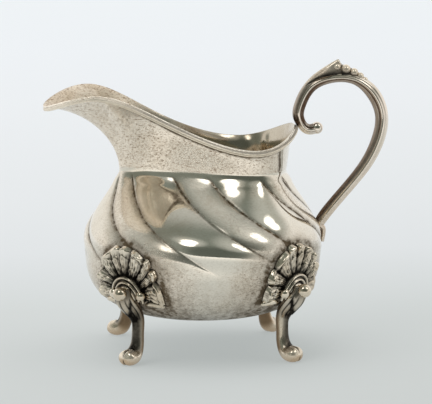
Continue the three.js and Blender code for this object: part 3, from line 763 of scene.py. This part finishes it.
handle_knots = [
    from_seat(4.3, -1.6, CURL_HALF * 1.12),
    from_seat(2.3, -1.95, CURL_HALF * 1.1),
    from_seat(0.6, -1.25, CURL_HALF * 1.06),
    from_seat(-0.65, 0.3, CURL_HALF * 1.02),
    on_loop(178, LIMB_HALF * 0.96),
    on_loop(158, LIMB_HALF),
    on_loop(130, LIMB_HALF, 1.04),
    on_loop(100, CROWN_HALF),
    on_loop(70, CROWN_HALF),
    on_loop(40, GRIP_HALF, 0.98),
    on_loop(5, GRIP_HALF),
    loop_end,
    on_slope(0.33),
    on_slope(0.67),
    tail_start,
    on_tail(TAIL_TOP * 0.65 + TAIL_END * 0.35, TAIL_HALF * 1.4),
    on_tail(TAIL_TOP * 0.3 + TAIL_END * 0.7, TAIL_HALF * 1.1),
    on_tail(TAIL_END, TAIL_HALF),
]
handle_spline = spline_through(handle_knots)


def bar_at(places):
    """Centres, outward directions and half thicknesses of the bar at places along it."""
    places = np.atleast_1d(places)
    here = handle_spline(places)
    along = handle_spline(places + MM) - handle_spline(places - MM)
    outward = np.stack([-along[:, 1], np.zeros(len(places)), along[:, 0]], -1)
    outward /= np.linalg.norm(outward, axis=1)[:, None]
    centre = np.stack([here[:, 0], np.zeros(len(places)), here[:, 1]], -1)
    return centre, outward, here[:, 2]


def capped_faces(rows, columns):
    """Faces of a run of rings with a fan over each end, whose middles follow the rings."""
    last = (rows - 1) * columns
    middle = rows * columns
    faces = ring_faces(rows, columns)
    for j in range(columns):
        k = (j + 1) % columns
        faces.append((k, j, middle))
        faces.append((last + j, last + k, middle + 1))
    return faces


def with_middles(rings):
    """Points of rings, followed by the middles of the first and the last one."""
    return np.vstack([rings.reshape(-1, 3), rings[0].mean(0), rings[-1].mean(0)])


def globe(centre, radii, rows=20, columns=32):
    """Points and faces of an upright ellipsoid."""
    lift = np.linspace(-np.pi / 2, np.pi / 2, rows + 2)[1:-1]
    turn = np.linspace(0, 2 * np.pi, columns, endpoint=False)
    rings = np.stack([
        np.outer(np.cos(lift), np.cos(turn)),
        np.outer(np.cos(lift), np.sin(turn)),
        np.outer(np.sin(lift), np.ones(columns)),
    ], -1) * radii + centre
    pole = np.array([0, 0, radii[2]])
    return np.vstack([rings.reshape(-1, 3), centre - pole, centre + pole]), capped_faces(rows, columns)


def joined(parts):
    """One set of points, faces and numbers of tarnish and painted shade from several."""
    points = []
    faces = []
    shades = []
    count = 0
    for part_points, part_faces, part_shades in parts:
        points.append(part_points)
        faces += [tuple(corner + count for corner in face) for face in part_faces]
        shades.append(np.broadcast_to(part_shades, len(part_points)))
        count += len(part_points)
    return np.vstack(points), faces, np.concatenate(shades)


def filled(numbers, points):
    """Numbers for the first points of a piece, and 0 for its other points."""
    return np.append(numbers, np.zeros(len(points) - numbers.size))


turns = np.linspace(0, 2 * np.pi, BAR_SIDES, endpoint=False)
facing = np.cos(turns)
square = np.abs(facing) ** BAR_SQUARENESS + np.abs(np.sin(turns)) ** BAR_SQUARENESS
from_rib = np.arcsin(facing)
beside_rib = band(from_rib, -0.42, 0.2) + 0.4 * band(from_rib, 0.45, 0.16)
ridged = 1 / square ** (1 / BAR_SQUARENESS)
ridged = ridged + SIDE_RIB_RISE * band(from_rib, 0, 0.22) - SIDE_GROOVE_DEPTH * beside_rib
places = np.linspace(0, len(handle_knots) - 1, (len(handle_knots) - 1) * BAR_RINGS_PER_KNOT + 1)
bar_centre, bar_outward, bar_half = bar_at(places)
bar = bar_centre[:, None] + bar_outward[:, None] * (bar_half[:, None] * facing * ridged)[..., None]
bar[..., 1] = bar_half[:, None] * BAR_WIDENING * np.sin(turns) * ridged

# The limb is brown all round apart from its rib, and the slope along its inner face.
inner_side = np.clip(-facing, 0, 1) ** 1.2 * 0.8 + beside_rib * 0.75
on_limb = eased(places, 2.5, 3.5) * (1 - eased(places, 5, 7))
bar_shade = np.outer(1 - 0.75 * eased(places, SLOPE_PLACE, SLOPE_PLACE + 3), inner_side)
bar_shade = bar_shade + 0.55 * np.outer(on_limb, 1 - band(from_rib, 0, 0.2))
inner_slope = np.outer(eased(places, SLOPE_PLACE, SLOPE_PLACE + 3.5), eased(-facing, 0.3, 0.65))
bar_shade = bar_shade + 0.8 * inner_slope
bar_shade = bar_shade + 0.9 * np.outer(band(places, CURL_PLACE, 0.5), np.clip(facing, 0, 1))
bar_shades = np.append(np.clip(bar_shade, 0, 1), [0, 0])
slope_dull = 0.5 * np.outer(eased(places, SLOPE_PLACE + 0.5, SLOPE_PLACE + 2.5), eased(facing, -0.1, 0.3))
ball_centre = np.array([seat_x + BALL_FROM_SEAT[0], 0, RIM_BACK[2] + BALL_FROM_SEAT[1]])
ball_points, ball_faces = globe(ball_centre, np.full(3, BALL_RADIUS))
points, faces, shades = joined([
    (with_middles(bar), capped_faces(len(places), BAR_SIDES), bar_shades),
    (ball_points, ball_faces, 0.0),
])
browned = silver("browned_silver", BROWNED_SILVER, roughness=0.10, specks=0.6, blotches=0.4,
                 patina_and_shade=1.0, deep=BROWN_TARNISH)
handle = mesh_object("scroll_handle", points + (axis_x, 0, 0), faces, [browned],
                     shades, filled(slope_dull, points))
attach(handle, "root")
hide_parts("handle_scroll")


# Thumb leaf
# A small cast leaf soldered over the crown of the handle: its fluted tip stands up for the thumb over a
# bud, and a stem of shrinking beads trails behind it, black with painted shade between the beads. The
# leaf's sides and the beads' undersides are painted in shade too.
LEAF_FROM = 5.75
LEAF_TIP = 7.38
LEAF_TO = 8.6
LEAF_TIP_RISE = 5.928
LEAF_SWEEP = 1.6
LEAF_HALF_WIDTH = 2.3
LEAF_EDGE = 0.35
LEAF_SEAT = 0.8
LEAF_UNDERSIDE = 0.6
LEAF_FLUTES = 5
LEAF_FLUTING = 0.12
LEAF_DULL = 0.45
LEAF_ROWS = 48
LEAF_COLUMNS = 20
STEM_RISE = 3.4
STEM_HALF_WIDTH = 1.5
# Painted shade over the stem between the beads.
STEM_SHADE = 0.6
BEADS = [(7.2, 1.9, 1.5), (7.55, 1.25, 1.8), (7.9, 0.55, 1.6), (8.2, -0.1, 1.4), (8.46, -0.6, 1.1)]
BEAD_WIDENING = 1.15
CAST_SILVER = (0.93, 0.83, 0.69)


def crown_strip(places, rise, half_width, fluting, overall_shade):
    """A strip over the crown of the bar that stands up by rise along its middle."""
    centre, outward, half = bar_at(places)
    across = np.cos(np.linspace(0, np.pi, LEAF_COLUMNS))
    over = half[:, None] * LEAF_SEAT + rise[:, None] * (1 - across ** 2) ** 0.7
    over = over + fluting * np.cos(LEAF_FLUTES * np.pi * across) * (1 - across ** 2)
    under = np.broadcast_to(half[:, None] * LEAF_UNDERSIDE, over.shape)
    lift = np.concatenate([over, under[:, ::-1]], 1)
    both = np.concatenate([across, across[::-1]])
    rings = centre[:, None] + outward[:, None] * lift[..., None]
    rings[..., 1] = both * half_width[:, None]
    # The strip's sides are painted in shade and its flutes are darkened; a stem is painted in shade all
    # over.
    edge = np.clip(np.abs(both) * 1.2 - 0.6, 0, 1)
    edge = edge + (0.5 - 0.5 * np.cos(LEAF_FLUTES * np.pi * both)) * fluting * 3
    shades = np.append(np.tile(np.clip(edge + overall_shade, 0, 1), len(places)), [0.2, 0.8])
    return with_middles(rings), capped_faces(len(places), lift.shape[1]), shades


share = np.linspace(0, 1, LEAF_ROWS)
tip_round = 1 - 0.4 * eased(share, 0.92, 1)
leaf_rise = (LEAF_EDGE + (LEAF_TIP_RISE - LEAF_EDGE) * share ** LEAF_SWEEP) * tip_round
leaf_half = LEAF_HALF_WIDTH * (0.25 + 0.75 * np.sin(np.pi * np.minimum(share * 0.8 + 0.14, 1)))
leaf_places = LEAF_FROM + (LEAF_TIP - LEAF_FROM) * share
stem_half = STEM_HALF_WIDTH * (1 - 0.6 * share)
stem_places = LEAF_TIP + (LEAF_TO - LEAF_TIP) * share
parts = [
    crown_strip(leaf_places, leaf_rise, leaf_half, LEAF_FLUTING, 0.0),
    crown_strip(stem_places, STEM_RISE * (1 - share), stem_half, 0.0, STEM_SHADE),
]
for place, stand, radius in BEADS:
    centre, outward, half = bar_at(place)
    middle = centre[0] + outward[0] * (half[0] + stand)
    bead_points, bead_faces = globe(middle, np.array([radius, radius * BEAD_WIDENING, radius]))
    bead_lift = (bead_points - middle) @ outward[0] / radius
    # The beads' undersides are painted in shade.
    parts.append((bead_points, bead_faces, np.clip(0.25 - bead_lift, 0, 1)))
points, faces, shades = joined(parts)
leaf_dull = np.full(len(points), LEAF_DULL)
cast = silver("cast_silver", CAST_SILVER, roughness=0.11, specks=0.7, blotches=0.4, patina_and_shade=1.0)
leaf = mesh_object("thumb_leaf_cast", points + (axis_x, 0, 0), faces, [cast], shades, leaf_dull)
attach(leaf, "root")
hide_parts("thumb_leaf")


# Shell mounts
# Each knee is backed by a cast shell soldered to the belly: a collar of thin ribs round the knee that ends
# in two small balls, a fan of veined leaves with rolled tips, and a rolled leaf end on each side below it.
# Black tarnish is left in every hollow, and the walls where the shell meets the belly are painted in shade
# as well.
LEG_TURNS = {"back_left": 135, "front_left": 225, "front_right": 315, "back_right": 45}
SHELL_LEAVES = 9
SHELL_SPREAD = 106
SHELL_SCALLOP = 1.2
SHELL_SINK = 0.2
END_LEAF_WIDTH = 1.7
LEAF_ROUND = 2.4
LEAF_VEINS = 5
LEAF_STEPS = 2.4
LEAF_BASE = 0.6
LEAF_ARCH = 1.4
LEAF_ROLL = 0.8
VEIN_RISE = 0.16
STEP_RISE = 0.5
RAGGED_RISE = 0.13
COLLAR_RADIUS = 6.9
COLLAR_RIBS = 3
COLLAR_START = 2.2
COLLAR_LIFT = 1.85
COLLAR_FALL = 0.30
COLLAR_RIB_RISE = 0.9
SIDE_BALL_RADIUS = 1.8
SIDE_BALL_OFFSET = 5.8
SIDE_BALL_RISE = 0.6
SIDE_BALL_LIFT = 1.9
ROLL_FROM = 5.4
ROLL_TO = 13.2
ROLL_DROP = 3.2
ROLL_BEND = 0.8
ROLL_HALF = 1.5
ROLL_RINGS = 24
ROLL_SIDES = 20
COLUMNS_PER_LEAF = 30
SHELL_ROWS = 60
EDGE_ROWS = 4


def over_belly(sideways, height, lift):
    """Points over the plain belly near a leg, in the leg's frame: X out from the axis, Y sideways, Z up."""
    radius = belly_radius(height) + LOBE_RISE * chasing_fade(height) * 0.6
    slope = (belly_radius(height + MM) - belly_radius(height - MM)) / (2 * MM)
    turn = sideways / radius
    tilt = np.hypot(1, slope)
    reach = radius + lift / tilt
    return np.stack([reach * np.cos(turn), reach * np.sin(turn), height - lift * slope / tilt], -1)


def turned(points, degrees):
    turn = math.radians(degrees)
    x = points[:, 0] * math.cos(turn) - points[:, 1] * math.sin(turn)
    y = points[:, 0] * math.sin(turn) + points[:, 1] * math.cos(turn)
    return np.stack([x + axis_x, y, points[:, 2]], -1)


def sheet_faces(rows, columns):
    faces = []
    for i in range(rows - 1):
        for j in range(columns - 1):
            corner = i * columns + j
            faces.append((corner, corner + 1, corner + columns + 1, corner + columns))
    return faces


dice = np.random.default_rng(11)
shell_columns = SHELL_LEAVES * COLUMNS_PER_LEAF + 1
fan = np.linspace(-1, 1, shell_columns)
fan_turn = np.radians(SHELL_SPREAD) * fan
leaf_widths = dice.uniform(0.7, 1.3, SHELL_LEAVES)
leaf_widths[[0, -1]] = END_LEAF_WIDTH
leaf_ends = np.cumsum(np.append(0, leaf_widths))
leaf_place = np.interp((fan + 1) / 2 * leaf_ends[-1], leaf_ends, np.arange(SHELL_LEAVES + 1))
leaf_index = np.minimum(leaf_place.astype(int), SHELL_LEAVES - 1)
leaf_across = 2 * (leaf_place - leaf_index) - 1
leaf_length = dice.uniform(-0.9, 0.5, SHELL_LEAVES)[leaf_index]
leaf_swell = dice.uniform(0.75, 1.2, SHELL_LEAVES)[leaf_index]
leaf_phase = dice.uniform(0, 1, SHELL_LEAVES)[leaf_index]
leaf_lean = np.radians(dice.uniform(-5, 5, SHELL_LEAVES))[leaf_index]
crest = 1 - np.abs(leaf_across) ** LEAF_ROUND
edge = fan_radius(fan_turn) + leaf_length * crest - SHELL_SCALLOP * (1 - crest)
radius = COLLAR_START + (edge - COLLAR_START) * np.linspace(0, 1, SHELL_ROWS)[:, None]
leaf_out = np.clip((radius - COLLAR_RADIUS) / (edge - COLLAR_RADIUS), 0, 1)
swaying = 0.09 * np.sin(3 * fan_turn + 2 * leaf_out)
sheet_turn = fan_turn + leaf_lean * crest * leaf_out + swaying * leaf_out
rolled = band(leaf_out, 0.86, 0.09)
vein = np.cos(LEAF_VEINS * np.pi * leaf_across) * (1 - rolled)
lobed = (leaf_out * LEAF_STEPS + leaf_phase + 0.35 * np.abs(leaf_across)) % 1
step = (lobed - 0.5) * eased(leaf_out, 0.05, 0.3) * crest
ragged = np.sin(23 * fan_turn + 1.9 * radius)
ragged = ragged + np.sin(31 * fan_turn - 2.7 * radius + 1)
ragged = ragged + np.sin(9 * fan_turn + 2.3 * radius)
leaf_lift = LEAF_ARCH * np.sin(np.pi * (0.10 + 0.62 * leaf_out)) + LEAF_ROLL * rolled
leaf_lift = LEAF_BASE + leaf_lift * leaf_swell * (0.10 + 0.90 * crest)
leaf_lift = leaf_lift + VEIN_RISE * vein + STEP_RISE * step + RAGGED_RISE * ragged * leaf_out
leaf_lift = leaf_lift * (1 - 0.6 * eased(leaf_out, 0.9, 1))
rib_place = (radius - COLLAR_START) / (COLLAR_RADIUS - COLLAR_START) * COLLAR_RIBS
collar_rib = (0.5 + 0.5 * np.cos(2 * np.pi * (rib_place - 0.5))) ** 1.8
collar_lift = COLLAR_LIFT - COLLAR_FALL * rib_place / COLLAR_RIBS + COLLAR_RIB_RISE * collar_rib
on_collar = 1 - eased(radius, COLLAR_RADIUS - 0.5, COLLAR_RADIUS)
shell_lift = leaf_lift * (1 - on_collar) + collar_lift * on_collar

# Black lies between the leaves, where they leave the collar, along their veins and between the ribs.
leaf_shade = 1.2 * (1 - crest) ** 1.5 + 1.2 * (1 - leaf_out) ** 5 - 0.3 * rolled - 0.1 * ragged
leaf_shade = leaf_shade + 0.55 * np.clip(-vein, 0, 1) ** 2 + 0.7 * band(lobed, 0, 0.16) * leaf_out
rib_shade = 1.15 - 1.5 * collar_rib
shell_shade = np.clip(leaf_shade * (1 - on_collar) + rib_shade * on_collar, 0, 1)

# The fan's outer edge and its two ends go down into the belly. Their dark walls are painted shade as well
# as tarnish.
edge_lift = shell_lift[-1] * (1 - (np.arange(1, EDGE_ROWS + 1) / EDGE_ROWS)[:, None]) - SHELL_SINK
radius = np.vstack([radius, np.repeat(radius[-1:], EDGE_ROWS, 0)])
sheet_turn = np.vstack([sheet_turn, np.repeat(sheet_turn[-1:], EDGE_ROWS, 0)])
shell_lift = np.vstack([shell_lift, edge_lift])
shell_shade = np.vstack([shell_shade, np.full_like(edge_lift, 0.8)])
sideways = radius * np.sin(sheet_turn)
level = KNEE_HEIGHT + radius * np.cos(sheet_turn)
shell_front = over_belly(sideways, level, shell_lift)
shell_faces = sheet_faces(SHELL_ROWS + EDGE_ROWS, shell_columns)
shell_parts = [(shell_front.reshape(-1, 3), shell_faces, shell_shade.ravel())]
for column in (0, -1):
    top = shell_front[:, column]
    foot = over_belly(sideways[:, column], level[:, column], np.full(len(top), -SHELL_SINK))
    shell_parts.append((np.vstack([top, foot]), sheet_faces(2, len(top)), 0.9))


def rolled_leaf(side):
    """A leaf end rolled up into a bar that lies level on the belly below the fan."""
    share = np.linspace(0.02, 0.98, ROLL_RINGS)
    sideways = side * (ROLL_FROM + (ROLL_TO - ROLL_FROM) * share)
    height = KNEE_HEIGHT - ROLL_DROP + ROLL_BEND * np.sin(np.pi * share)
    middle = over_belly(sideways, height, np.full(ROLL_RINGS, 1.0))
    outward = over_belly(sideways, height, np.full(ROLL_RINGS, 2.0)) - middle
    along = np.gradient(middle, axis=0)
    upward = np.cross(outward, along / np.linalg.norm(along, axis=1)[:, None])
    through = np.linspace(0, 2 * np.pi, ROLL_SIDES, endpoint=False)[:, None]
    half = ROLL_HALF * np.sqrt(np.sin(np.pi * share)) * (0.7 + 0.3 * share)
    spokes = np.cos(through) * outward[:, None] + np.sin(through) * upward[:, None]
    rings = middle[:, None] + half[:, None, None] * spokes
    shade = np.tile(np.clip(np.sin(through[:, 0]) * 1.6 - 0.7, 0, 1), ROLL_RINGS)
    return with_middles(rings), capped_faces(ROLL_RINGS, ROLL_SIDES), np.append(shade, [0.8, 0.8])


ball_level = np.array(KNEE_HEIGHT + SIDE_BALL_RISE)
for side in (-1, 1):
    centre = over_belly(np.array(SIDE_BALL_OFFSET * side), ball_level, np.array(SIDE_BALL_LIFT))
    ball_points, ball_faces = globe(centre, np.full(3, SIDE_BALL_RADIUS))
    shell_parts.append((ball_points, ball_faces, 0.0))
    shell_parts.append(rolled_leaf(side))
points, faces, shades = joined(shell_parts)
for corner, turn in LEG_TURNS.items():
    shell = mesh_object("shell_mount_" + corner, turned(points, turn), faces, [cast], shades)
    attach(shell, "root")
    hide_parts("shell_" + corner)


# Scroll legs
# Cast legs soldered under the belly: a ball knee over a veined tongue, a keeled shin that tapers to a thin
# ankle, and a foot that rolls out into a cleft toe. The inner sides of the ankles and the undersides of the
# toes get a painted warm reflection.
LEG_STATIONS = [
    (43.6, 27.6, 2.3, 2.6),
    (42.8, 24.0, 2.8, 3.3),
    (40.3, 21.0, 2.7, 3.3),
    (37.7, 18.0, 2.55, 2.9),
    (36.3, 14.8, 2.35, 2.45),
    (36.3, 11.0, 2.2, 2.25),
    (36.5, 7.4, 2.3, 2.35),
    (37.7, 4.4, 2.6, 2.9),
    (39.6, 2.9, 2.9, 3.5),
    (41.8, 2.7, 2.8, 3.6),
    (43.4, 2.8, 2.2, 2.8),
    (44.2, 2.9, 0.7, 0.9),
]
LEG_SIDES = 96
LEG_RINGS_PER_STATION = 9
KEEL_RISE = 0.10
KEEL_HOLLOW = 0.14
CLEFT_DEPTH = 0.24
DROP_HALF = 0.95
DROP_RISE = 0.14
TONGUE_SPREAD = 0.4
TONGUE_VEINS = 11
INSTEP_PLACE = 7.4
KNEE_BALL = (45.9, 0, 25.9)
KNEE_BALL_RADII = (2.5, 2.6, 2.4)
# Colour of the painted warm reflection on the legs.
WARM_REFLECTION = (0.58, 0.39, 0.23)

leg_spline = spline_through(LEG_STATIONS)
leg_places = np.linspace(0, len(LEG_STATIONS) - 1, (len(LEG_STATIONS) - 1) * LEG_RINGS_PER_STATION + 1)
here = leg_spline(leg_places)
along = leg_spline(leg_places + MM) - leg_spline(leg_places - MM)
leg_outward = np.stack([-along[:, 1], np.zeros(len(along)), along[:, 0]], -1)
leg_outward /= np.linalg.norm(leg_outward, axis=1)[:, None]
turns = np.linspace(0, 2 * np.pi, LEG_SIDES, endpoint=False)
from_keel = np.angle(np.exp(1j * turns))
off_keel = np.abs(from_keel)
from_middle = np.arcsin(np.abs(np.sin(turns)))
shin = eased(leg_places, 0.5, 1.5) * (1 - eased(leg_places, 4.5, 6))
ankle = eased(leg_places, 1.4, 3.4) * (1 - eased(leg_places, 6.6, 7.6))
toe = eased(leg_places, 7.5, 8.5)
tongue = eased(leg_places, 0.3, 1.2) * (1 - eased(leg_places, 2.6, 4))
keel = KEEL_RISE * band(from_keel, 0, 0.25) - KEEL_HOLLOW * band(off_keel, 0.75, 0.30)
cleft = -CLEFT_DEPTH * band(from_middle, 0, 0.15)
drop_half = DROP_HALF * (1 - eased(leg_places, 0.9, 2.9))[:, None] + 0.02
on_drop = (1 - eased(off_keel / drop_half, 0.75, 1.05)) * (1 - eased(leg_places, 2.7, 2.9))[:, None]
swell = 1 + np.outer(shin, keel) + np.outer(toe, cleft) + DROP_RISE * on_drop
spread = 1 + TONGUE_SPREAD * np.outer(tongue, np.sin(turns) < 0)
leg_centre = np.stack([here[:, 0], np.zeros(len(here)), here[:, 1]], -1)
leg = leg_centre[:, None] + leg_outward[:, None] * (here[:, 2:3] * np.cos(turns) * swell)[..., None]
leg[..., 1] = here[:, 3:4] * np.sin(turns) * swell * spread
leg[..., 2] = np.maximum(leg[..., 2], 0)

# Tarnish lies round the drop on the tongue, in its veins and in the cleft. Painted shade lies round the
# knee ball and on the instep, and a painted dark reflection down the front of the ankle and on its inner
# side.
drop_rim = band(off_keel, drop_half * 1.1, 0.2) * eased(leg_places, 0.8, 1.4)[:, None]
veins = np.clip(np.cos(from_keel * TONGUE_VEINS), 0, 1) ** 2 * (off_keel < 1.9)
inner_side = eased(off_keel, 1.1, 1.8)
leg_shade = drop_rim * (1 - eased(leg_places, 2.9, 3.3))[:, None]
leg_shade = leg_shade + np.outer(toe, band(from_middle, 0, 0.13))
# Painted shade in the hollow of the instep.
leg_shade = leg_shade + 0.95 * np.outer(band(leg_places, INSTEP_PLACE, 0.55), band(from_keel, 0, 0.9))
leg_shade = leg_shade + np.outer(tongue * eased(leg_places, 0.6, 1.0), 0.25 + 0.7 * veins)
# Painted shade round the knee ball.
leg_shade = leg_shade + 0.7 * (1 - eased(leg_places, 0.6, 1.1))[:, None]
# Painted dark reflection down the front of the ankle and on its inner side.
leg_shade = leg_shade + 0.9 * np.outer(ankle, np.exp(-((from_keel - 0.3) / 1.1) ** 4))
leg_shade = leg_shade + 0.55 * np.outer(ankle, inner_side)
leg_shades = np.append(np.clip(leg_shade, 0, 1), [0, 0])
foot_dull = np.repeat(0.3 * eased(leg_places, INSTEP_PLACE, INSTEP_PLACE + 1), LEG_SIDES)
# Painted warm reflection on the inner sides of the ankles and under the toes.
under_toe = np.outer(eased(leg_places, 6.6, 7.6), eased(-np.cos(turns), -0.5, 1.0))
leg_warm_reflection = np.outer(ankle, inner_side) + 0.75 * under_toe
knee_points, knee_faces = globe(np.array(KNEE_BALL), np.array(KNEE_BALL_RADII))
points, faces, shades = joined([
    (with_middles(leg), capped_faces(len(leg_places), LEG_SIDES), leg_shades),
    (knee_points, knee_faces, 0.0),
])
leg_silver = silver("leg_silver", CAST_SILVER, roughness=0.11, specks=0.7, blotches=0.4,
                    patina_and_shade=1.0, warm_reflection=WARM_REFLECTION)
for corner, turn in LEG_TURNS.items():
    leg_piece = mesh_object("scroll_leg_" + corner, turned(points, turn), faces, [leg_silver],
                            shades, filled(foot_dull, points), filled(leg_warm_reflection, points))
    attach(leg_piece, "root")
    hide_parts("leg_" + corner)
